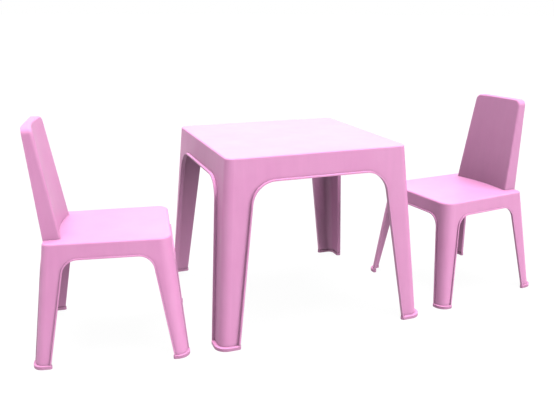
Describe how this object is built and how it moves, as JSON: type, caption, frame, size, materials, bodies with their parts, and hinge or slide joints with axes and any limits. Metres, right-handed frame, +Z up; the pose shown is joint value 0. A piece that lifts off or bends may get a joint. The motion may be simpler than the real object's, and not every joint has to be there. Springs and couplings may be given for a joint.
{
  "type": "kids table and chairs",
  "caption": "Low square children's table with arched sides and splayed legs, and matching small chairs with leaning backrests, one-piece pink plastic mouldings on foot caps.",
  "frame": {"origin": "the middle of the whole set's footprint, at floor level", "axes": "+Z up; +X runs from the left chair past the table to the right chair, along the table's front edge; +Y runs from the table's front to its rear"},
  "size_m": [1.325, 0.5386, 0.517],
  "materials": {
    "table_moulding": "satin moulded polypropylene, pink",
    "left_chair_moulding": "satin moulded polypropylene, pink",
    "right_chair_moulding": "satin moulded polypropylene, pink",
    "foot_cap_plastic": "softer matte plastic push-on cap, same pink"
  },
  "bodies": {
    "table": {"table_body": "table_moulding", "table_foot_cap_front_left": "foot_cap_plastic", "table_foot_cap_front_right": "foot_cap_plastic", "table_foot_cap_rear_right": "foot_cap_plastic", "table_foot_cap_rear_left": "foot_cap_plastic"},
    "left_chair": {"left_chair_body": "left_chair_moulding", "left_chair_foot_cap_rear_right": "foot_cap_plastic", "left_chair_foot_cap_front_right": "foot_cap_plastic", "left_chair_foot_cap_front_left": "foot_cap_plastic", "left_chair_foot_cap_rear_left": "foot_cap_plastic"},
    "right_chair": {"right_chair_body": "right_chair_moulding", "right_chair_foot_cap_rear_right": "foot_cap_plastic", "right_chair_foot_cap_front_right": "foot_cap_plastic", "right_chair_foot_cap_front_left": "foot_cap_plastic", "right_chair_foot_cap_rear_left": "foot_cap_plastic"}
  },
  "joints": [
    {"name": "left_chair_pull_out", "type": "slide", "parent": "table", "child": "left_chair", "axis": [-0.9866, 0.1633, 0], "range_m": [-0.05, 0.25]},
    {"name": "right_chair_pull_out", "type": "slide", "parent": "table", "child": "right_chair", "axis": [0.9927, 0.121, 0], "range_m": [-0.05, 0.25]}
  ]
}
